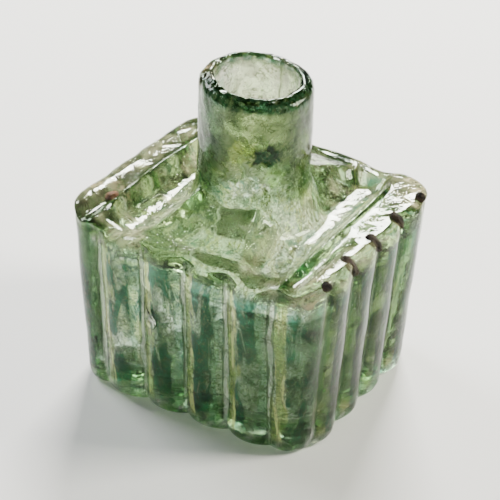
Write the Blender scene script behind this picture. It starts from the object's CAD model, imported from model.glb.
import math

import bmesh
import bpy
import numpy as np
from mathutils import Matrix, Vector, noise


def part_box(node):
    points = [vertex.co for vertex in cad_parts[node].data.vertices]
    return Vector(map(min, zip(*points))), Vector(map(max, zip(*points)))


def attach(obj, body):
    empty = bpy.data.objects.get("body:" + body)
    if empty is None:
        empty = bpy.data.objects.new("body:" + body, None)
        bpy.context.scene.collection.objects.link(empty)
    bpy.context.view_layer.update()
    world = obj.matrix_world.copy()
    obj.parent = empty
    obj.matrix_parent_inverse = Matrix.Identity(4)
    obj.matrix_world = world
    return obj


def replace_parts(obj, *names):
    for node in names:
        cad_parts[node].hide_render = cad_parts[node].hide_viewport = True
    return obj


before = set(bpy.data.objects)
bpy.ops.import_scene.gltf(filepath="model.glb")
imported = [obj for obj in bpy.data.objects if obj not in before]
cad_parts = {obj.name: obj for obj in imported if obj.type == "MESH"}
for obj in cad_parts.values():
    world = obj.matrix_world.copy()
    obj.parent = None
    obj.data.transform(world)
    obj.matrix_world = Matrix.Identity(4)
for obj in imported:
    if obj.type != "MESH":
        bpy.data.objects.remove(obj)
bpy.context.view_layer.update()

# Looks of an antique reeded ink bottle: one piece of aqua glass with two pen rests and a
# burst lip, with old soil in some groove heads. +Z is up, X runs across the two pen rests
# and Y along them. All sizes are in metres.
MM = 0.001

# Body walls, at the bottoms of the V grooves.
BASE_HALF_X = 23.1 * MM
BASE_HALF_Y = 20.7 * MM
WALL_FLARE = 0.056             # outward lean of every wall
GROOVES_PER_FACE = 5
FRONT_PITCH = 8.4 * MM
SIDE_PITCH = 8.3 * MM
PITCH_GROWTH = 0.85            # how much the grooves spread, per metre of height
REED_BOW = 0.19                # rise of a reed over its chord
CORNER_BOW = 0.26
FILLED_CORNER_BOW = 0.2        # of a corner where the grooves have run out
GROOVE_HEAD = 2.0 * MM         # the grooves fade out over this height below the top edge
EDGE_RADIUS = 2.2 * MM         # of the heel
BASE_DOME = 0.35 * MM          # hollow under the middle of the base
TOP_RADIUS = 2.8 * MM          # of the shoulder's edge
TOP_FILL = 0.85

# Shoulder.
DECK_Z = 35.4 * MM
CHEEK_Z = 36.0 * MM
CHEEK_FALL = 0.03
CHEEK_STEP_X = (17.0 * MM, 19.4 * MM)
TROUGH_X = 13.5 * MM
TROUGH_FLOOR_Z = 32.8 * MM
TROUGH_HALF_WIDTH = 5.1 * MM
TROUGH_STRAIGHT_Y = 16.1 * MM
TROUGH_DEPTH = 4.4 * MM
SPILL_Z = 34.5 * MM
SPILL_RADIUS = 8.0 * MM
RIDGE_INNER_X = 17.9 * MM
RIDGE_CREST_X = 18.6 * MM
RIDGE_Z = 37.2 * MM
RIDGE_LEAN = -0.0256           # the crest falls toward the back
RIDGE_ARCH = -3.68             # and toward both ends, per metre
RIDGE_OUTER_SLOPE = 1.3
VALLEY_X = 20.4 * MM           # crease between each ridge and its cheek, deepest in front
VALLEY_WIDTH = 1.6 * MM
VALLEY_DEPTH = 1.5 * MM
VALLEY_Y = (-17.0 * MM, 2.0 * MM)
RIDGE_BAND = 1.2 * MM          # half width of the dark glass in the crease
RIDGE_HALF_LENGTH = 19.5 * MM
SADDLE_HALF_X = 9.0 * MM
SADDLE_TOP_Z = 39.6 * MM
SADDLE_TOP_Y = 8.5 * MM
SADDLE_SLOPE = 0.385

# Neck and mouth.
NECK_RADIUS = 10.1 * MM
NECK_FOOT_RADIUS = 12.2 * MM
NECK_FOOT_Z = 33.6 * MM
NECK_FLARE_Z = 43.6 * MM
FLARE_POWER = 2.2
LIP_Z = 59.15 * MM
LIP_SLOPE = math.tan(math.radians(3.6))
LIP_ROUNDING = 1.9 * MM
BORE_RADIUS = 7.3 * MM
BORE_BOTTOM_Z = 39.6 * MM
LIP_CHIPS = 60
CHIP_RADIUS = (0.5, 2.6)       # millimetres
CHIP_DEPTH = (0.1, 0.24)       # as a share of the radius
CHIP_REACH = (6.6, 10.6)       # millimetres from the axis
LIP_CALM = 1.4 * MM            # the relief fades out this close to the inner edge of the lip
TEAR_DEPTH = 0.45 * MM         # how far the torn inner edge of the lip drops and opens out
TEAR_WIDTH = 0.2 * MM
CRACK_ANGLE = math.radians(87)
CRACK_WIDTH = 0.45 * MM
CRACK_DEPTH = 0.35 * MM
CRACK_FOOT = (47 * MM, 50 * MM)    # it fades in between these heights

# Ink chamber.
CEILING_SWEEP = 2.2 * MM       # how fast the ceiling levels out round the bore
CHAMBER_TOP_Z = 30.0 * MM
CHAMBER_FLOOR_Z = 4.2 * MM
WALL = 3.2 * MM
CHAMBER_SQUARENESS = 7.0       # power of the superellipse of its plan
CHAMBER_ROUNDING = 2.5 * MM

# Marks in the neck: a clear window near its foot, a bright spot and a dark flaw.
NECK_WINDOW = (3.8 * MM, -9.6 * MM, 44.8 * MM)
NECK_WINDOW_SIZE = (3.8 * MM, 5.0 * MM, 4.4 * MM)
NECK_GLOW = (3.0 * MM, -9.5 * MM, 49.2 * MM)
NECK_GLOW_SIZE = (2.6 * MM, 4.0 * MM, 2.2 * MM)
NECK_FLAW = (6.9 * MM, -7.2 * MM, 48.8 * MM)
NECK_FLAW_SIZE = (2.6 * MM, 4.0 * MM, 2.0 * MM)

# Brown stains: middle and reach.
STAINS = [
    ((24.0 * MM, 20.0 * MM, 34.5 * MM), 7 * MM),
    ((21.5 * MM, -20.5 * MM, 34.5 * MM), 4.5 * MM),
    ((-8.5 * MM, -3.0 * MM, LIP_Z), 4 * MM),
    ((-22.0 * MM, -13.0 * MM, 36.0 * MM), 5 * MM),
]

# Teardrop bead on the front face.
BEAD_PLACE = (-6.0 * MM, -23.3 * MM, 19.6 * MM)
BEAD_RADIUS = 1.5 * MM
BEAD_HALF_DEPTH = 0.5 * MM
BEAD_LENGTH = 4.2 * MM
BEAD_LEAN = -0.3

# Soil in the groove heads of the +X face, front to back: half width and half height.
SOIL_SIZES = [
    (0.7 * MM, 0.9 * MM),
    (1.2 * MM, 2.0 * MM),
    (1.1 * MM, 1.9 * MM),
    (1.0 * MM, 1.6 * MM),
    (0.7 * MM, 1.0 * MM),
]
SOIL_HALF_DEPTH = 1.0 * MM
# Dark clods, paler clods and rusty tinge.
SOIL_COLOURS = ((0.008, 0.007, 0.005), (0.05, 0.038, 0.022), (0.055, 0.026, 0.012))
RUSTY_COLOURS = ((0.05, 0.03, 0.015), (0.22, 0.13, 0.06), (0.25, 0.09, 0.03))
SOIL_SHIFT = Vector((0.25, -1.2, 0.9)) * MM   # from the middle of the CAD plug
SOIL_LEAN = math.radians(45)
RUST_SHIFT = Vector((0, 0, -1.7)) * MM        # beds the rusty lump in the crease outside the ridge

# Unevenness of the hand-made glass.
BASE_RELIEF = 0.7 * MM         # depth of the dimples under the base
RELIEF_BIAS = 0.25             # millimetres that the relief lies inside the plain shape
LIP_RELIEF = 0.22              # millimetres, of the broken glass of the lip

# Glass.
GLASS_IOR = 1.5
GLASS_ABSORPTION = (0.48, 0.71, 0.45, 1)
GLASS_DENSITY = 100
GLASS_SHINE = (0.38, 0.44, 0.35)    # colour of its reflections
LIP_SHINE = (0.05, 0.08, 0.06)      # the broken glass of the lip is duller

# Tints of the glass, by place. They multiply what shines through each surface.
SHOULDER_TINT = (0.86, 0.88, 0.50)
RIGHT_WALL_TINT = (0.03, 0.07, 0.015)
RIGHT_PATCH_TINT = (0.07, 0.16, 0.09)
LEFT_WALL_TINT = (0.02, 0.06, 0.05)
CREASE_TINT = (0.01, 0.12, 0.02)
SADDLE_TINT = (0.58, 0.72, 0.33)
NECK_TINT = (0.27, 0.38, 0.14)
NECK_COOL_TINT = (0.025, 0.09, 0.045)
NECK_WARM_TINT = (0.03, 0.06, 0.015)
WINDOW_TINT = (0.85, 0.86, 0.68)
GLOW_TINT = (0.95, 1.0, 0.30)
FLAW_TINT = (0.001, 0.01, 0.004)
LIP_TINT = (0.015, 0.06, 0.03)
STRIP_TINT = (0.80, 0.85, 0.25)      # the bright strip beside each groove
COOL_STRIP_TINT = (0.55, 0.80, 0.72)
REED_MIDDLE_TINT = (0.008, 0.07, 0.055)
STRIP_LINE_TINT = (0.30, 0.40, 0.12)
GROOVE_SIDE_TINT = (0.05, 0.09, 0.04)
PIT_TINT = (0.20, 0.20, 0.12)
VEIN_TINT = (0.30, 0.24, 0.20)
SCRATCH_TINT = (0.08, 0.10, 0.05)

# Dirt on the glass: dust outside, dust in the bore, and rust.
DUST_COLOUR = (0.78, 0.75, 0.42)
BORE_DUST_COLOUR = (0.92, 0.84, 0.78)
RUST_COLOUR = (0.42, 0.25, 0.12)

# Mesh density.
COLUMNS_PER_REED = 14
REEDS = 4 * GROOVES_PER_FACE
COLUMNS = REEDS * COLUMNS_PER_REED
REED_CROWDING = 0.55           # how far the columns crowd toward the grooves
BORE_ROWS = 33

# Floor, just clear of the base.
FLOOR_HALF_SIZE = 1.2
FLOOR_Z = -0.05 * MM

# Camera: where it stands, the point it looks at, and its roll.
CAMERA_PLACE = (0.15433, -0.26554, 0.21906)
CAMERA_AIM = (-0.00529, 0.00872, 0.01768)
CAMERA_ROLL = math.radians(2.0)
CAMERA_LENS = 147.15           # millimetres, on a 36 mm sensor


def smooth_max(a, b, radius):
    """Larger of a and b, with the corner between them rounded."""
    return 0.5 * (a + b + np.sqrt((a - b) ** 2 + radius ** 2))


def smooth_min(a, b, radius):
    return -smooth_max(-a, -b, radius)


def ease(value, low, high):
    """0 below low, 1 above high, and a smooth step between."""
    share = np.clip((value - low) / (high - low), 0, 1)
    return share * share * (3 - 2 * share)


def fractal(points, wavelength, octaves=3, offset=0.0):
    """Smooth random value from about -1 to 1 at each point."""
    shift = Vector((offset, 2.3 * offset, -1.7 * offset))
    return np.array([
        noise.fractal(Vector(p) / wavelength + shift, 1.0, 2.0, octaves) for p in points
    ])


# --- Body outline ---------------------------------------------------------------------

column = np.arange(COLUMNS)
reed = column // COLUMNS_PER_REED
step_share = (column % COLUMNS_PER_REED) / COLUMNS_PER_REED
across_reed = step_share - REED_CROWDING * np.sin(2 * math.pi * step_share) / (2 * math.pi)
is_corner = reed % GROOVES_PER_FACE == GROOVES_PER_FACE - 1


def groove_point(number, z, inset, fill):
    """Bottom of a groove, seen from above, filled by a share of its depth.

    Grooves count round from the front left.
    """
    face, index = np.divmod(number % REEDS, GROOVES_PER_FACE)
    step = index - (GROOVES_PER_FACE - 1) / 2
    spread = 1 + PITCH_GROWTH * z
    half_x = BASE_HALF_X + WALL_FLARE * z - inset + fill * REED_BOW * SIDE_PITCH
    half_y = BASE_HALF_Y + WALL_FLARE * z - inset + fill * REED_BOW * FRONT_PITCH
    across = step * FRONT_PITCH * spread
    along = step * SIDE_PITCH * spread
    x = np.choose(face, [across, half_x, -across, -half_x])
    y = np.choose(face, [-half_y, along, half_y, -along])
    return np.stack([x, y], axis=-1)


def outline(z, inset=0.0, fill=0.0):
    """Reeded outline of the body, one point per column, at the heights z."""
    start = groove_point(reed, z, inset, fill)
    chord = groove_point(reed + 1, z, inset, fill) - start
    length = np.linalg.norm(chord, axis=-1)
    corner_bow = CORNER_BOW + (FILLED_CORNER_BOW - CORNER_BOW) * fill
    face_bow = REED_BOW * (1.001 - fill)
    rise = np.where(is_corner, corner_bow, face_bow) * length
    radius = (length ** 2 / 4 + rise ** 2) / (2 * rise)
    half_angle = np.arcsin(length / 2 / radius)
    angle = half_angle * (2 * across_reed - 1)
    forward = length / 2 + radius * np.sin(angle)
    outward = radius * np.cos(angle) - (radius - rise)
    along = chord / length[:, None]
    normal = np.stack([along[:, 1], -along[:, 0]], axis=-1)
    ring = start + along * forward[:, None] + normal * outward[:, None]
    return 0.25 * np.roll(ring, 1, axis=0) + 0.5 * ring + 0.25 * np.roll(ring, -1, axis=0)


# --- Shoulder -------------------------------------------------------------------------

def shoulder_height(x, y):
    """Height of the shoulder, without the neck."""
    side = np.abs(x)
    reach = np.abs(y)
    cheek = CHEEK_Z - CHEEK_FALL * y
    valley = VALLEY_DEPTH * np.exp(-((side - VALLEY_X) / VALLEY_WIDTH) ** 2)
    cheek = cheek - valley * (1 - ease(y, *VALLEY_Y))
    deck = DECK_Z + (cheek - DECK_Z) * ease(side, *CHEEK_STEP_X)
    crest = RIDGE_Z + RIDGE_LEAN * y + RIDGE_ARCH * y ** 2
    crest = crest - np.maximum(reach - RIDGE_HALF_LENGTH, 0)
    ridge = crest - RIDGE_OUTER_SLOPE * np.maximum(side - RIDGE_CREST_X, 0)
    ridge = ridge - 3 * np.maximum(RIDGE_INNER_X - side, 0)
    saddle = SADDLE_TOP_Z - SADDLE_SLOPE * np.maximum(reach - SADDLE_TOP_Y, 0)
    saddle = saddle - 3 * np.maximum(side - SADDLE_HALF_X, 0)
    top = smooth_max(smooth_max(deck, ridge, 0.2 * MM), saddle, 0.4 * MM)
    end = np.maximum(reach - TROUGH_STRAIGHT_Y, 0)
    from_middle = np.hypot(side - TROUGH_X, end) / TROUGH_HALF_WIDTH
    trough = TROUGH_FLOOR_Z + TROUGH_DEPTH * from_middle ** 3
    aside = np.minimum(np.abs(side - TROUGH_X), 0.999 * SPILL_RADIUS)
    spill = SPILL_Z + SPILL_RADIUS - np.sqrt(SPILL_RADIUS ** 2 - aside ** 2)
    return smooth_min(top, smooth_min(trough, spill, 0.3 * MM), 0.25 * MM)


def flare_height(radius):
    """Height of the neck's flared foot at a distance from the axis."""
    share = np.clip((radius - NECK_RADIUS) / (NECK_FOOT_RADIUS - NECK_RADIUS), 0, None)
    return NECK_FLARE_Z - (NECK_FLARE_Z - NECK_FOOT_Z) * share ** (1 / FLARE_POWER)


# --- Glass body as rings of points ----------------------------------------------------

def ring_at(flat, z):
    return np.concatenate([flat, np.broadcast_to(z, (COLUMNS,))[:, None]], axis=1)


def resampled(rings, count):
    """The same surface with rings spread evenly along each column."""
    path = np.array(rings)
    steps = np.linalg.norm(np.diff(path, axis=0), axis=-1)
    run = np.concatenate([np.zeros((1, COLUMNS)), np.cumsum(steps, axis=0)])
    even = np.linspace(0, 1, count)
    result = np.empty((count, COLUMNS, 3))
    for index in range(COLUMNS):
        place = run[:, index] / run[-1, index]
        for axis in range(3):
            result[:, index, axis] = np.interp(even, place, path[:, index, axis])
    return list(result)


def turned_rings(steps):
    """Angles of the rings round a quarter turn."""
    return [math.pi / 2 * (step + 1) / steps for step in range(steps)]


def groove_fill(z, edge_z):
    """How far the grooves are filled in at the heights z, under the top edge."""
    return TOP_FILL * ease(z, edge_z - GROOVE_HEAD, edge_z - 0.2 * TOP_RADIUS)


def outer_rings():
    """From the middle of the base up the walls, over the shoulder and up the neck."""
    zeros = np.zeros(COLUMNS)
    heel_edge = outline(zeros, EDGE_RADIUS)
    rings = []
    for part in np.linspace(0.04, 1, 14):
        rings.append(ring_at(heel_edge * part, BASE_DOME * (1 - ease(part, 0.5, 0.9))))
    for turn in turned_rings(7):
        z = zeros + EDGE_RADIUS * (1 - math.cos(turn))
        rings.append(ring_at(outline(z, EDGE_RADIUS * (1 - math.sin(turn))), z))
    edge = outline(zeros + DECK_Z, TOP_RADIUS, TOP_FILL)
    edge_z = shoulder_height(edge[:, 0], edge[:, 1])
    wall_top = edge_z - TOP_RADIUS
    for part in np.linspace(0, 1, 54)[1:]:
        z = EDGE_RADIUS + (wall_top - EDGE_RADIUS) * part
        rings.append(ring_at(outline(z, 0, groove_fill(z, edge_z)), z))
    for turn in turned_rings(9):
        z = wall_top + TOP_RADIUS * math.sin(turn)
        inset = TOP_RADIUS * (1 - math.cos(turn))
        rings.append(ring_at(outline(z, inset, groove_fill(z, edge_z)), z))
    rim = rings[-1][:, :2]
    angle = np.arctan2(rim[:, 1], rim[:, 0])
    toward = np.stack([np.cos(angle), np.sin(angle)], axis=-1)
    neck_spot = toward * NECK_RADIUS
    path = []
    for part in np.linspace(0, 1, 160):
        flat = neck_spot + (rim - neck_spot) * (1 - part) ** FLARE_POWER
        height = shoulder_height(flat[:, 0], flat[:, 1])
        foot = flare_height(np.linalg.norm(flat, axis=-1))
        path.append(ring_at(flat, smooth_max(height, foot, 1.2 * MM)))
    rings += resampled(path, 62)[1:]
    return rings, toward


def mouth_rings(toward, below):
    """Neck shaft, torn lip and bore."""
    lip_z = LIP_Z - LIP_SLOPE * toward[:, 0] * NECK_RADIUS
    start_z = below[:, 2]
    top_z = lip_z - LIP_ROUNDING
    rings = [ring_at(toward * NECK_RADIUS, start_z + (top_z - start_z) * part)
             for part in np.linspace(0, 1, 46)[1:]]
    for turn in turned_rings(7):
        radius = NECK_RADIUS - LIP_ROUNDING * (1 - math.cos(turn))
        rings.append(ring_at(toward * radius, top_z + LIP_ROUNDING * math.sin(turn)))
    outer = NECK_RADIUS - LIP_ROUNDING
    spots = ring_at(toward * NECK_RADIUS, 0.0)
    tear = TEAR_DEPTH * (0.5 + fractal(spots, 2.2 * MM, 4, 51))
    torn_radius = (BORE_RADIUS + TEAR_WIDTH * (0.6 + fractal(spots, 3.0 * MM, 3, 57)))[:, None]
    for part in np.linspace(0, 1, 6)[1:]:
        radius = outer + (torn_radius - outer) * part
        rings.append(ring_at(toward * radius, lip_z - tear * part ** 2))
    torn_z = lip_z - tear
    for part in np.linspace(0, 1, BORE_ROWS + 1)[1:]:
        radius = BORE_RADIUS + (torn_radius - BORE_RADIUS) * (1 - part) ** 12
        rings.append(ring_at(toward * radius, torn_z + (BORE_BOTTOM_Z - torn_z) * part))
    return rings


def chamber_plan(toward, inset):
    """Rounded rectangle of the ink chamber, drawn in by inset."""
    half_x = BASE_HALF_X - WALL - inset
    half_y = BASE_HALF_Y - WALL - inset
    power = CHAMBER_SQUARENESS
    spread = (np.abs(toward[:, 0] / half_x) ** power + np.abs(toward[:, 1] / half_y) ** power)
    return toward * (spread ** (-1 / power))[:, None]


def ceiling_height(radius):
    """Height of the chamber's ceiling, which sweeps down from the bore without an edge."""
    rise = BORE_BOTTOM_Z - CHAMBER_TOP_Z
    return CHAMBER_TOP_Z + rise * np.exp((BORE_RADIUS - radius) / CEILING_SWEEP)


def chamber_rings(toward):
    """Ceiling, walls and floor of the ink chamber, from the bore down to its middle."""
    lean_top = WALL_FLARE * CHAMBER_TOP_Z
    ceiling_edge = chamber_plan(toward, CHAMBER_ROUNDING - lean_top)
    throat = toward * BORE_RADIUS
    path = []
    for part in np.linspace(0, 1, 80):
        flat = throat + (ceiling_edge - throat) * part ** 2
        path.append(ring_at(flat, ceiling_height(np.linalg.norm(flat, axis=-1))))
    rings = resampled(path, 26)[1:]
    for turn in turned_rings(5):
        inset = CHAMBER_ROUNDING * (1 - math.sin(turn)) - lean_top
        z = CHAMBER_TOP_Z - CHAMBER_ROUNDING * (1 - math.cos(turn))
        rings.append(ring_at(chamber_plan(toward, inset), z))
    top = CHAMBER_TOP_Z - CHAMBER_ROUNDING
    bottom = CHAMBER_FLOOR_Z + CHAMBER_ROUNDING
    for part in np.linspace(0, 1, 40)[1:]:
        z = top + (bottom - top) * part
        rings.append(ring_at(chamber_plan(toward, -WALL_FLARE * z), z))
    lean_floor = WALL_FLARE * CHAMBER_FLOOR_Z
    for turn in turned_rings(5):
        inset = CHAMBER_ROUNDING * (1 - math.cos(turn)) - lean_floor
        z = bottom - CHAMBER_ROUNDING * math.sin(turn)
        rings.append(ring_at(chamber_plan(toward, inset), z))
    floor_edge = rings[-1][:, :2]
    for part in np.linspace(1, 0.04, 14)[1:]:
        rings.append(ring_at(floor_edge * part, CHAMBER_FLOOR_Z))
    return rings


def ring_mesh(name, rings):
    """Closed mesh of rings, with one point in the middle of the first and last."""
    count = len(rings)
    poles = [rings[0].mean(axis=0), rings[-1].mean(axis=0)]
    points = np.concatenate([*rings, poles])
    following = (column + 1) % COLUMNS
    faces = []
    for row in range(count - 1):
        low = row * COLUMNS
        high = low + COLUMNS
        faces += np.stack(
            [low + column, low + following, high + following, high + column], axis=1
        ).tolist()
    first_pole = count * COLUMNS
    last = (count - 1) * COLUMNS
    faces += np.stack([following, column, np.full(COLUMNS, first_pole)], axis=1).tolist()
    faces += np.stack(
        [last + column, last + following, np.full(COLUMNS, first_pole + 1)], axis=1
    ).tolist()
    mesh = bpy.data.meshes.new(name)
    mesh.from_pydata(points.tolist(), [], faces)
    mesh.validate()
    mesh.shade_smooth()
    return mesh


def vertex_arrays(mesh):
    """Points and normals of a mesh."""
    points = np.empty(len(mesh.vertices) * 3)
    normals = np.empty(len(mesh.vertices) * 3)
    mesh.vertices.foreach_get("co", points)
    mesh.vertices.foreach_get("normal", normals)
    return points.reshape(-1, 3), normals.reshape(-1, 3)


def add_piece(name, mesh, material):
    piece = bpy.data.objects.new(name, mesh)
    bpy.context.scene.collection.objects.link(piece)
    mesh.materials.append(material)
    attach(piece, "root")
    return piece


def lip_chips():
    """Centres and radii of the bites that the burst left in the lip."""
    draw = np.random.default_rng(11)
    chips = []
    for _ in range(LIP_CHIPS):
        angle = draw.uniform(0, 2 * math.pi)
        radius = draw.uniform(*CHIP_RADIUS) * MM
        depth = draw.uniform(*CHIP_DEPTH) * radius
        reach = draw.uniform(*CHIP_REACH) * MM
        x, y = reach * math.cos(angle), reach * math.sin(angle)
        chips.append((x, y, LIP_Z - LIP_SLOPE * x + radius - depth, radius))
    return chips


def chipped(points):
    """Points of the lip pushed down to the bottom of the bites."""
    for x, y, z, radius in lip_chips():
        aside = (points[:, 0] - x) ** 2 + (points[:, 1] - y) ** 2
        inside = (aside < radius ** 2) & (points[:, 2] > BORE_BOTTOM_Z)
        floor = z - np.sqrt(np.maximum(radius ** 2 - aside, 0))
        points[:, 2] = np.where(inside, np.minimum(points[:, 2], floor), points[:, 2])
    return points


def relief(points, inside):
    """Depth of the hand-made unevenness of the glass at each point, from 0 inward."""
    x, y, z = points.T
    on_neck = ease(z, SADDLE_TOP_Z, NECK_FLARE_Z)
    on_wall = 1 - ease(z, DECK_Z - 6 * MM, DECK_Z)
    streaks = points * (1, 1, 0.22)
    angle = np.arctan2(y, x)
    turned = np.stack([angle * NECK_RADIUS + 0.45 * z, 0.25 * z, 0 * z], axis=-1)
    wall = 0.13 * fractal(streaks, 3.0 * MM) + 0.12 * fractal(points, 7 * MM, 2, 5)
    shoulder = 0.10 * fractal(points, 4.5 * MM, 3, 9) + 0.03 * fractal(points, 1.4 * MM, 2, 10)
    neck = 0.13 * fractal(turned, 2.6 * MM, 2, 3) + 0.12 * fractal(points, 4 * MM, 3, 7)
    height = np.where(z < DECK_Z, wall * on_wall + shoulder * (1 - on_wall), shoulder)
    height = height * (1 - on_neck) + neck * on_neck
    height = height + 0.07 * ease(z, 8 * MM, 5 * MM) * fractal(points, 1.6 * MM, 2, 29)
    on_lip = ease(z, LIP_Z - 2.4 * MM, LIP_Z - 1.0 * MM)
    height = height - on_lip * LIP_RELIEF * np.abs(fractal(points, 0.9 * MM, 3, 19))
    inner = 0.30 * fractal(points, 6.5 * MM, 2, 13) + 0.10 * fractal(points, 2.4 * MM, 2, 17)
    on_floor = ease(z, 9 * MM, 5 * MM)
    inner = inner + 0.35 * on_floor * fractal(points, 2.2 * MM, 3, 23)
    height = height * (1 - inside) + inner * inside
    depth = (height - RELIEF_BIAS) * MM * ease(z, 0.2 * MM, 1.8 * MM)
    standing = np.maximum(np.abs(x) - BASE_HALF_X, np.abs(y) - BASE_HALF_Y) + 4.5 * MM
    under = (1 - inside) * ease(z, 1 * MM, 0.6 * MM) * ease(standing, 0, -2.5 * MM)
    dimples = np.maximum(0.8 + fractal(points, 2.2 * MM, 3, 61), 0)
    depth = depth - under * BASE_RELIEF * dimples
    depth = depth + inside * CRACK_DEPTH * crack_line(points)
    from_edge = np.hypot(np.hypot(x, y) - BORE_RADIUS, z - LIP_Z + LIP_SLOPE * x)
    return depth * ease(from_edge, 0.3 * LIP_CALM, LIP_CALM)


def crack_line(points):
    """1 on the crack down the back of the bore, 0 elsewhere."""
    x, y, z = points.T
    wander = 0.3 * MM * fractal(points, 3 * MM, 3, 71)
    aside = (np.arctan2(y, x) - CRACK_ANGLE) * BORE_RADIUS + wander
    return np.exp(-(aside / (0.5 * CRACK_WIDTH)) ** 2) * ease(z, *CRACK_FOOT)


def blend_colour(first, second, amount):
    """Row of colours part way from first to second."""
    return first + (np.array(second) - first) * amount[:, None]


def near(points, place, radius):
    """1 close to a place, fading out raggedly at the radius."""
    far = np.linalg.norm((points - np.array(place)) / radius, axis=-1)
    return ease(far + 0.45 * fractal(points, 1.3 * MM, 3, 43), 1, 0.75)


def glass_tint(points, inside):
    """Colour of the glass: greener in the neck, darkest at the lip and under the ridges."""
    x, y, z = points.T
    outside = 1 - inside
    patches = ease(fractal(points * (1, 1, 0.5), 4 * MM, 4, 33), -0.2, 0.2)
    streaks = ease(fractal(points * (1, 1, 0.25), 2 * MM, 3, 35), -0.4, 0.4)
    tint = np.ones((len(points), 3))
    tint = blend_colour(tint, SHOULDER_TINT, ease(z, DECK_Z - 4 * MM, DECK_Z - 2 * MM) * outside)
    on_wall = ease(z, 3 * MM, 6 * MM) * ease(z, DECK_Z - 1 * MM, DECK_Z - 5 * MM) * outside
    right = ease(x, BASE_HALF_X - 1 * MM, BASE_HALF_X + 0.6 * MM) * on_wall
    tint = blend_colour(tint, RIGHT_WALL_TINT, right)
    tint = blend_colour(tint, RIGHT_PATCH_TINT, right * 0.9 * ease(z, 14 * MM, 30 * MM) * patches)
    left = ease(x, -BASE_HALF_X + 1 * MM, -BASE_HALF_X - 0.6 * MM) * on_wall
    tint = blend_colour(tint, LEFT_WALL_TINT, left * (0.7 + 0.3 * patches))
    side = np.abs(x)
    under_ridge = ease(np.abs(side - VALLEY_X + 0.9 * MM), RIDGE_BAND, 0.6 * RIDGE_BAND)
    under_ridge = under_ridge * (1 - ease(y, *VALLEY_Y)) * ease(z, 32 * MM, 33 * MM) * outside
    tint = blend_colour(tint, CREASE_TINT, under_ridge)
    saddle = ease(side, 10 * MM, 8 * MM) * ease(z, 32 * MM, 34 * MM) * outside
    tint = blend_colour(tint, SADDLE_TINT, saddle * (0.4 + 0.6 * patches))
    neck = ease(z, SADDLE_TOP_Z - 1.5 * MM, SADDLE_TOP_Z + 1.0 * MM) * outside
    tint = blend_colour(tint, NECK_TINT, neck * (0.65 + 0.35 * streaks))
    cool = ease(x + 0.6 * y, -3 * MM, -9 * MM)
    tint = blend_colour(tint, NECK_COOL_TINT, neck * cool * 0.9)
    warm = ease(x + 0.6 * y, 3 * MM, 8 * MM)
    tint = blend_colour(tint, NECK_WARM_TINT, neck * warm * (0.6 + 0.4 * streaks))
    tint = blend_colour(tint, WINDOW_TINT, near(points, NECK_WINDOW, NECK_WINDOW_SIZE))
    tint = blend_colour(tint, GLOW_TINT, near(points, NECK_GLOW, NECK_GLOW_SIZE))
    tint = blend_colour(tint, FLAW_TINT, near(points, NECK_FLAW, NECK_FLAW_SIZE))
    lip = ease(z + LIP_SLOPE * x, LIP_Z - 2.8 * MM, LIP_Z - 1.8 * MM)
    broken = ease(fractal(points, 1.6 * MM, 3, 37), 0.5, 0.2)
    tint = blend_colour(tint, LIP_TINT, lip * broken)
    return tint * (1 - 0.97 * inside * crack_line(points))[:, None]


def film_cover(points, inside):
    """How much of the surface old dust and dried ink cover."""
    x, y, z = points.T
    side = np.abs(x)
    clouds = ease(fractal(points, 4 * MM, 5, 41), -0.3, 0.4)
    trough = 0.7 * ease(np.abs(side - TROUGH_X), 5.6 * MM, 4.6 * MM) * ease(z, 30 * MM, 32 * MM)
    cheek = 0.8 * ease(side, 19.5 * MM, 21 * MM) * ease(z, DECK_Z - 4 * MM, DECK_Z - 1 * MM)
    on_neck = ease(z, SADDLE_TOP_Z - 1 * MM, SADDLE_TOP_Z + 2 * MM)
    saddle = 0.3 * ease(side, 9 * MM, 7 * MM) * ease(z, 33 * MM, 35 * MM)
    trough = trough * (1 + 0.8 * (x < 0))
    shoulder = np.maximum(np.maximum(trough, cheek), saddle) * (1 - on_neck) * (1 - inside)
    flecks = ease(fractal(points, 1.5 * MM, 3, 53), 0.15, 0.35) * ease(z, 5 * MM, 4 * MM) * (1 - inside)
    bore = inside * ease(z, BORE_BOTTOM_Z, BORE_BOTTOM_Z + 6 * MM) * (1 - crack_line(points))
    return shoulder * (0.03 + 0.25 * clouds) + bore * (0.20 + 0.35 * clouds) + 0.25 * flecks


def rust_cover(points):
    """How brown that film is."""
    spots = 0.6 + 0.6 * fractal(points, 2.5 * MM, 3, 47)
    places = sum(near(points, place, radius) for place, radius in STAINS)
    return np.clip(places * spots, 0, 1)


def reed_place(points, inside):
    """Where each point is across its reed, as a direction, and whether it is on a wall."""
    z = points[:, 2]
    turn = 2 * math.pi * np.resize(across_reed, len(points))
    on_wall = ease(z, 1.5 * MM, 3.5 * MM) * ease(z, DECK_Z - 1.5 * MM, DECK_Z - 4 * MM)
    return np.stack([-np.cos(turn), -np.sin(turn), on_wall * (1 - inside)], axis=-1)


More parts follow.
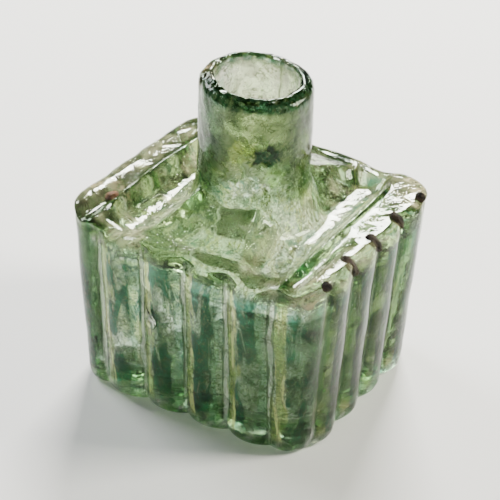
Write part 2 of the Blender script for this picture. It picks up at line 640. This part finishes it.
def glass_mesh():
    outer, toward = outer_rings()
    rings = outer + mouth_rings(toward, outer[-1])
    outside_rows = len(rings) - BORE_ROWS
    rings += chamber_rings(toward)
    mesh = ring_mesh("bottle_glass", rings)
    points, normals = vertex_arrays(mesh)
    row = np.arange(len(points)) // COLUMNS
    row[-2:] = 0, len(rings)
    inside = (row >= outside_rows).astype(float)
    points = points + normals * relief(points, inside)[:, None]
    points = chipped(points)
    mesh.vertices.foreach_set("co", points.ravel())
    mesh.update()
    tint = np.ones((len(points), 4))
    tint[:, :3] = glass_tint(points, inside)
    rust = rust_cover(points)
    film = np.maximum(film_cover(points, inside), 0.5 * rust)
    store(mesh, "tint", "FLOAT_COLOR", "color", tint)
    store(mesh, "reed", "FLOAT_VECTOR", "vector", reed_place(points, inside))
    store(mesh, "inside", "FLOAT", "value", inside)
    store(mesh, "film", "FLOAT", "value", film)
    store(mesh, "rust", "FLOAT", "value", rust)
    return mesh


def store(mesh, name, kind, field, values):
    """Keep one value per point of the mesh, for the material."""
    layer = mesh.attributes.new(name, kind, "POINT")
    layer.data.foreach_set(field, values.astype(np.float32).ravel())


# --- Materials ------------------------------------------------------------------------

def new_material(name):
    material = bpy.data.materials.new(name)
    material.use_nodes = True
    material.node_tree.nodes.clear()
    return material, material.node_tree.nodes, material.node_tree.links


def texture(nodes, links, kind, coordinates, scale, **inputs):
    """Noise or Voronoi texture node on the given coordinates."""
    node = nodes.new(kind)
    links.new(coordinates, node.inputs["Vector"])
    node.inputs["Scale"].default_value = scale
    for name, value in inputs.items():
        node.inputs[name].default_value = value
    return node


def ramp(nodes, links, value, low, high, to_low=0.0, to_high=1.0):
    """Smooth change from to_low to to_high as value goes from low to high."""
    node = nodes.new("ShaderNodeMapRange")
    node.interpolation_type = "SMOOTHSTEP"
    links.new(value, node.inputs["Value"])
    limits = {"From Min": low, "From Max": high, "To Min": to_low, "To Max": to_high}
    for name, number in limits.items():
        node.inputs[name].default_value = number
    return node.outputs[0]


def math_node(nodes, links, operation, first, second):
    node = nodes.new("ShaderNodeMath")
    node.operation = operation
    for socket, value in zip(node.inputs, (first, second)):
        if isinstance(value, (int, float)):
            socket.default_value = value
        else:
            links.new(value, socket)
    return node.outputs[0]


def times(nodes, links, first, second):
    return math_node(nodes, links, "MULTIPLY", first, second)


def absolute(nodes, links, value):
    return math_node(nodes, links, "ABSOLUTE", value, 0)


def mix_colour(nodes, links, share, first, second):
    node = nodes.new("ShaderNodeMix")
    node.data_type = "RGBA"
    links.new(share, node.inputs["Factor"])
    for name, value in (("A", first), ("B", second)):
        socket = [item for item in node.inputs if item.name == name and item.type == "RGBA"][0]
        if isinstance(value, tuple):
            socket.default_value = (*value, 1)
        else:
            links.new(value, socket)
    return [item for item in node.outputs if item.type == "RGBA"][0]


def bump(nodes, links, height, strength, distance, below=None):
    node = nodes.new("ShaderNodeBump")
    node.inputs["Strength"].default_value = strength
    node.inputs["Distance"].default_value = distance
    links.new(height, node.inputs["Height"])
    if below is not None:
        links.new(below, node.inputs["Normal"])
    return node.outputs[0]


def attribute(nodes, name, output):
    node = nodes.new("ShaderNodeAttribute")
    node.attribute_name = name
    return node.outputs[output]


def stretched(nodes, links, coordinates, scale):
    """The coordinates multiplied by a scale for each axis."""
    node = nodes.new("ShaderNodeMapping")
    links.new(coordinates, node.inputs["Vector"])
    node.inputs["Scale"].default_value = scale
    return node.outputs[0]


def band(nodes, links, value, low, high, soft):
    """1 while value is between low and high, fading over soft at both ends."""
    rise = ramp(nodes, links, value, low, low + soft)
    fall = ramp(nodes, links, value, high - soft, high, 1, 0)
    return times(nodes, links, rise, fall)


def reed_bands(nodes, links, place, tint):
    """Bands down each reed: a bright strip, a deep middle, a cool strip and dirt in the groove."""
    parts = nodes.new("ShaderNodeSeparateXYZ")
    links.new(attribute(nodes, "reed", "Vector"), parts.inputs[0])
    turn = math_node(nodes, links, "ARCTAN2", parts.outputs["Y"], parts.outputs["X"])
    across = math_node(nodes, links, "ADD", math_node(nodes, links, "DIVIDE", turn, 2 * math.pi), 0.5)
    tall = stretched(nodes, links, place, (1, 1, 0.12))
    streaks = texture(nodes, links, "ShaderNodeTexNoise", tall, 900, Detail=4).outputs["Fac"]
    blots = texture(nodes, links, "ShaderNodeTexNoise", stretched(nodes, links, place, (1, 1, 0.4)),
                    260, Detail=5, Distortion=0.8).outputs["Fac"]
    bent = math_node(nodes, links, "ADD", across, ramp(nodes, links, streaks, 0.3, 0.7, -0.05, 0.05))
    bent = math_node(nodes, links, "ADD", bent, ramp(nodes, links, blots, 0.3, 0.7, -0.08, 0.08))
    on_wall = parts.outputs["Z"]
    spot = nodes.new("ShaderNodeSeparateXYZ")
    links.new(place, spot.inputs[0])
    aside = absolute(nodes, links, spot.outputs["X"])
    on_front = ramp(nodes, links, aside, BASE_HALF_X, BASE_HALF_X + 1.5 * MM, 1, 0.25)
    deep = band(nodes, links, bent, 0.28, 0.80, 0.06)
    deep = times(nodes, links, deep, ramp(nodes, links, blots, 0.40, 0.52, 0.35, 1))
    cool = band(nodes, links, bent, 0.70, 0.92, 0.05)
    glow = band(nodes, links, bent, 0.03, 0.33, 0.06)
    lines = band(nodes, links, streaks, 0.44, 0.56, 0.03)
    for amount, colour in (
        (glow, STRIP_TINT),
        (cool, COOL_STRIP_TINT),
        (deep, REED_MIDDLE_TINT),
    ):
        amount = times(nodes, links, amount, on_wall)
        tint = mix_colour(nodes, links, amount, tint, multiplied(nodes, links, tint, colour))
    shade = times(nodes, links, times(nodes, links, glow, lines), on_wall)
    tint = mix_colour(nodes, links, times(nodes, links, shade, 0.5), tint, STRIP_LINE_TINT)
    wobble = times(nodes, links, math_node(nodes, links, "SUBTRACT", bent, across), 0.3)
    shifted = math_node(nodes, links, "ADD", math_node(nodes, links, "SUBTRACT", across, 0.5), wobble)
    from_middle = absolute(nodes, links, shifted)
    beside = times(nodes, links, band(nodes, links, from_middle, 0.425, 0.475, 0.012), on_wall)
    tint = mix_colour(nodes, links, times(nodes, links, beside, 0.85), tint, GROOVE_SIDE_TINT)
    groove = times(nodes, links, ramp(nodes, links, from_middle, 0.46, 0.48), on_wall)
    broken = ramp(nodes, links, blots, 0.42, 0.54, 0.2, 1)
    groove = times(nodes, links, groove, broken)
    crust = ramp(nodes, links, streaks, 0.40, 0.58, 0.42, 0.03)
    for limit in (glow, on_wall, on_front, ramp(nodes, links, blots, 0.36, 0.5, 0.4, 1)):
        crust = times(nodes, links, crust, limit)
    return tint, math_node(nodes, links, "MAXIMUM", times(nodes, links, groove, 0.25), crust)


def multiplied(nodes, links, colour, factor):
    """A colour darkened by a constant factor for each channel."""
    node = nodes.new("ShaderNodeVectorMath")
    node.operation = "MULTIPLY"
    links.new(colour, node.inputs[0])
    node.inputs[1].default_value = factor
    return node.outputs[0]


def scribbles(nodes, links, place, scale, reach):
    """Short wandering scratches, as thin lines along the contours of a noise."""
    field = texture(nodes, links, "ShaderNodeTexNoise", place, scale, Detail=3, Distortion=1.2)
    patches = texture(nodes, links, "ShaderNodeTexNoise", place, 0.7 * scale, Detail=2)
    height = math_node(nodes, links, "SUBTRACT", field.outputs["Fac"], 0.5)
    line = ramp(nodes, links, absolute(nodes, links, height), reach / 2, reach, 1, 0)
    shown = ramp(nodes, links, patches.outputs["Fac"], 0.48, 0.56)
    return times(nodes, links, line, shown)


def glass_material():
    material, nodes, links = new_material("aqua_glass")
    place = nodes.new("ShaderNodeTexCoord").outputs["Object"]
    inside = attribute(nodes, "inside", "Fac")
    film = attribute(nodes, "film", "Fac")
    hammered = texture(nodes, links, "ShaderNodeTexNoise", place, 500, Detail=2, Distortion=0.6)
    crinkle = texture(nodes, links, "ShaderNodeTexNoise", place, 1300, Detail=2, Distortion=0.4)
    patches = texture(nodes, links, "ShaderNodeTexNoise", place, 130, Detail=4, Distortion=0.5)
    pits = texture(nodes, links, "ShaderNodeTexVoronoi", place, 1150, Randomness=1.0)
    worn = ramp(nodes, links, patches.outputs["Fac"], 0.45, 0.65)
    pit = ramp(nodes, links, pits.outputs["Distance"], 0.10, 0.26, 1, 0)
    pit = times(nodes, links, pit, worn)
    scratch = scribbles(nodes, links, place, 700, 0.04)
    veins = times(nodes, links, scribbles(nodes, links, place, 240, 0.02), inside)
    normal = bump(nodes, links, hammered.outputs["Fac"], 0.5, 0.15 * MM)
    normal = bump(nodes, links, crinkle.outputs["Fac"], 0.45, 0.05 * MM, normal)
    normal = bump(nodes, links, pit, 0.5, -0.10 * MM, normal)
    normal = bump(nodes, links, scratch, 0.4, -0.04 * MM, normal)
    rough = ramp(nodes, links, patches.outputs["Fac"], 0.4, 0.7, 0.0, 0.03)
    rough = math_node(nodes, links, "ADD", rough, times(nodes, links, film, 0.1))
    tint, crust = reed_bands(nodes, links, place, attribute(nodes, "tint", "Color"))
    dust = ramp(nodes, links, hammered.outputs["Fac"], 0.35, 0.65, 0.5, 1.4)
    dust = times(nodes, links, film, dust)
    dust = math_node(nodes, links, "MAXIMUM", dust, crust)
    clear = math_node(nodes, links, "SUBTRACT", 1, dust)
    dirt = mix_colour(nodes, links, inside, DUST_COLOUR, BORE_DUST_COLOUR)
    dirt = mix_colour(nodes, links, attribute(nodes, "rust", "Fac"), dirt, RUST_COLOUR)
    tint = mix_colour(nodes, links, dust, tint, dirt)
    tint = mix_colour(nodes, links, pit, tint, PIT_TINT)
    tint = mix_colour(nodes, links, times(nodes, links, veins, 0.7), tint, VEIN_TINT)
    tint = mix_colour(nodes, links, times(nodes, links, scratch, 0.8), tint, SCRATCH_TINT)
    output = nodes.new("ShaderNodeOutputMaterial")
    glass = nodes.new("ShaderNodeBsdfPrincipled")
    links.new(tint, glass.inputs["Base Color"])
    links.new(clear, glass.inputs["Transmission Weight"])
    links.new(rough, glass.inputs["Roughness"])
    links.new(normal, glass.inputs["Normal"])
    glass.inputs["IOR"].default_value = GLASS_IOR
    spot = nodes.new("ShaderNodeSeparateXYZ")
    links.new(place, spot.inputs[0])
    on_lip = ramp(nodes, links, spot.outputs["Z"], LIP_Z - 1.8 * MM, LIP_Z - 1.2 * MM)
    shine = mix_colour(nodes, links, on_lip, GLASS_SHINE, LIP_SHINE)
    links.new(shine, glass.inputs["Specular Tint"])
    links.new(glass.outputs[0], output.inputs["Surface"])
    absorb = nodes.new("ShaderNodeVolumeAbsorption")
    absorb.inputs["Color"].default_value = GLASS_ABSORPTION
    absorb.inputs["Density"].default_value = GLASS_DENSITY
    links.new(absorb.outputs[0], output.inputs["Volume"])
    return material


def soil_material(name, dark, pale, rust):
    """Packed earth: dark clods with paler grit and a tinge of rust."""
    material, nodes, links = new_material(name)
    place = nodes.new("ShaderNodeTexCoord").outputs["Object"]
    clods = texture(nodes, links, "ShaderNodeTexNoise", place, 900, Detail=6)
    grit = texture(nodes, links, "ShaderNodeTexVoronoi", place, 2600, Randomness=1.0)
    stain = texture(nodes, links, "ShaderNodeTexNoise", place, 350, Detail=3)
    shade = ramp(nodes, links, clods.outputs["Fac"], 0.35, 0.7)
    colour = mix_colour(nodes, links, shade, dark, pale)
    tinge = ramp(nodes, links, stain.outputs["Fac"], 0.45, 0.7, 0, 0.6)
    colour = mix_colour(nodes, links, tinge, colour, rust)
    normal = bump(nodes, links, clods.outputs["Fac"], 0.9, 0.25 * MM)
    normal = bump(nodes, links, grit.outputs["Distance"], 0.6, 0.08 * MM, normal)
    surface = nodes.new("ShaderNodeBsdfPrincipled")
    links.new(colour, surface.inputs["Base Color"])
    links.new(normal, surface.inputs["Normal"])
    rough = ramp(nodes, links, grit.outputs["Distance"], 0.1, 0.5, 0.65, 0.95)
    links.new(rough, surface.inputs["Roughness"])
    output = nodes.new("ShaderNodeOutputMaterial")
    links.new(surface.outputs[0], output.inputs["Surface"])
    return material


def floor_material():
    material, nodes, links = new_material("pale_floor")
    output = nodes.new("ShaderNodeOutputMaterial")
    surface = nodes.new("ShaderNodeBsdfPrincipled")
    surface.inputs["Base Color"].default_value = (0.8, 0.8, 0.79, 1)
    surface.inputs["Roughness"].default_value = 0.7
    links.new(surface.outputs[0], output.inputs["Surface"])
    return material


# --- Glass bead -----------------------------------------------------------------------

def bead_mesh():
    """Teardrop of glass stuck to a reed of the front face, its tail pointing up."""
    sides = 32
    turns = np.linspace(0, 2 * math.pi, sides, endpoint=False)
    shape = bmesh.new()
    rows = []
    for part in np.linspace(0.02, 0.98, 24):
        radius = BEAD_RADIUS * math.sin(math.pi * part) ** 0.8 * (1 - 0.62 * part)
        height = BEAD_LENGTH * (part - 0.35)
        lean = BEAD_LEAN * height
        deep = radius * BEAD_HALF_DEPTH / BEAD_RADIUS
        rows.append([shape.verts.new((radius * math.cos(turn) + lean, deep * math.sin(turn), height))
                     for turn in turns])
    for low, high in zip(rows, rows[1:]):
        for index in range(sides):
            following = (index + 1) % sides
            shape.faces.new((low[index], low[following], high[following], high[index]))
    shape.faces.new(reversed(rows[0]))
    shape.faces.new(rows[-1])
    bmesh.ops.translate(shape, vec=BEAD_PLACE, verts=shape.verts)
    mesh = bpy.data.meshes.new("glass_bead")
    shape.to_mesh(mesh)
    shape.free()
    store(mesh, "tint", "FLOAT_COLOR", "color", np.ones((len(mesh.vertices), 4)))
    mesh.shade_smooth()
    return mesh


# --- Soil -----------------------------------------------------------------------------

def lump_mesh(name, centre, half_sizes, lean, seed):
    """Rough lump of soil: a fine ball stretched, leaned inward and broken up by noise."""
    shape = bmesh.new()
    bmesh.ops.create_icosphere(shape, subdivisions=5, radius=1)
    turn = Matrix.Rotation(-lean, 3, "Y")
    for vertex in shape.verts:
        rough = 1 + 0.20 * noise.fractal(vertex.co * 1.6 + Vector((seed, 0, 0)), 1.0, 2.0, 4)
        rough += 0.06 * noise.fractal(vertex.co * 6 + Vector((0, seed, 0)), 1.0, 2.0, 2)
        stretched = Vector(a * b for a, b in zip(vertex.co * rough, half_sizes))
        vertex.co = Vector(centre) + turn @ stretched
    mesh = bpy.data.meshes.new(name)
    shape.to_mesh(mesh)
    shape.free()
    mesh.shade_smooth()
    return mesh


def add_soil():
    """A lump in each groove head of the +X face, and the rusty crumb on the -X ridge."""
    soil = soil_material("packed_soil", *SOIL_COLOURS)
    for number, (half_width, half_height) in enumerate(SOIL_SIZES, start=1):
        node = f"flute_soil_{number}"
        low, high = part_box(node)
        spot = (low + high) / 2 + SOIL_SHIFT
        sizes = (SOIL_HALF_DEPTH, half_width, half_height)
        mesh = lump_mesh(f"soil_lump_{number}", spot, sizes, SOIL_LEAN, 3.1 * number)
        lump = add_piece(f"soil_lump_{number}", mesh, soil)
        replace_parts(lump, node)
    rust = soil_material("rusty_soil", *RUSTY_COLOURS)
    low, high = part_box("rust_crumb")
    sizes = [side / 2 for side in high - low]
    mesh = lump_mesh("rust_lump", (low + high) / 2 + RUST_SHIFT, sizes, 0, 29.0)
    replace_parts(add_piece("rust_lump", mesh, rust), "rust_crumb")


# --- Build ----------------------------------------------------------------------------

aqua = glass_material()
glass = add_piece("bottle_glass", glass_mesh(), aqua)
add_piece("glass_bead", bead_mesh(), aqua)
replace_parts(glass, "glass_bottle")
add_soil()


# --- Floor, light and camera ----------------------------------------------------------

def add_floor():
    mesh = bpy.data.meshes.new("floor")
    reach = FLOOR_HALF_SIZE
    corners = [(-reach, -reach, 0), (reach, -reach, 0), (reach, reach, 0), (-reach, reach, 0)]
    mesh.from_pydata(corners, [], [(0, 1, 2, 3)])
    floor = bpy.data.objects.new("floor", mesh)
    floor.location.z = FLOOR_Z
    mesh.materials.append(floor_material())
    bpy.context.scene.collection.objects.link(floor)


def add_softbox(name, place, size, power, colour=(1, 1, 1)):
    """Area light at place, facing the bottle."""
    light = bpy.data.lights.new(name, "AREA")
    light.shape = "RECTANGLE"
    light.size, light.size_y = size
    light.energy = power
    light.color = colour
    lamp = bpy.data.objects.new(name, light)
    lamp.location = place
    lamp.rotation_euler = (Vector((0, 0, 0.03)) - Vector(place)).to_track_quat("-Z", "Y").to_euler()
    bpy.context.scene.collection.objects.link(lamp)


def add_world():
    """Dim room with a pale, uneven band of light low on its walls, before a pale backdrop."""
    world = bpy.data.worlds.new("studio")
    world.use_nodes = True
    nodes, links = world.node_tree.nodes, world.node_tree.links
    back = nodes["Background"]
    place = nodes.new("ShaderNodeTexCoord").outputs["Generated"]
    parts = nodes.new("ShaderNodeSeparateXYZ")
    links.new(place, parts.inputs[0])
    patches = texture(nodes, links, "ShaderNodeTexNoise", place, 2.2, Detail=1)
    low = ramp(nodes, links, parts.outputs["Z"], 0.05, 0.35, 0.35, 0.04)
    uneven = ramp(nodes, links, patches.outputs["Fac"], 0.42, 0.58, 0.25, 1)
    seen = times(nodes, links, nodes.new("ShaderNodeLightPath").outputs[0], 0.6)
    strength = times(nodes, links, low, uneven)
    links.new(math_node(nodes, links, "MAXIMUM", strength, seen), back.inputs["Strength"])
    back.inputs["Color"].default_value = (0.93, 0.93, 0.90, 1)
    bpy.context.scene.world = world


def add_camera():
    data = bpy.data.cameras.new("camera")
    data.sensor_width = 36
    data.lens = CAMERA_LENS
    data.clip_start, data.clip_end = 0.01, 20
    camera = bpy.data.objects.new("camera", data)
    place, aim = Vector(CAMERA_PLACE), Vector(CAMERA_AIM)
    turn = (aim - place).to_track_quat("-Z", "Y").to_matrix() @ Matrix.Rotation(CAMERA_ROLL, 3, "Z")
    camera.matrix_world = Matrix.Translation(place) @ turn.to_4x4()
    bpy.context.scene.collection.objects.link(camera)
    bpy.context.scene.camera = camera


add_floor()
add_softbox("back_softbox", (-0.246, 0.642, 0.518), (0.30, 0.14), 20, (1.0, 0.98, 0.92))
add_softbox("left_softbox", (-0.85, 0.15, 0.55), (0.4, 0.3), 12, (0.96, 0.98, 1.0))
add_softbox("right_softbox", (0.70, 0.45, 0.55), (0.3, 0.3), 18, (1.0, 0.97, 0.85))
add_softbox("front_fill", (-0.2, -0.9, 0.5), (0.5, 0.3), 2, (0.92, 0.97, 1.0))
add_world()
add_camera()

bpy.context.view_layer.update()
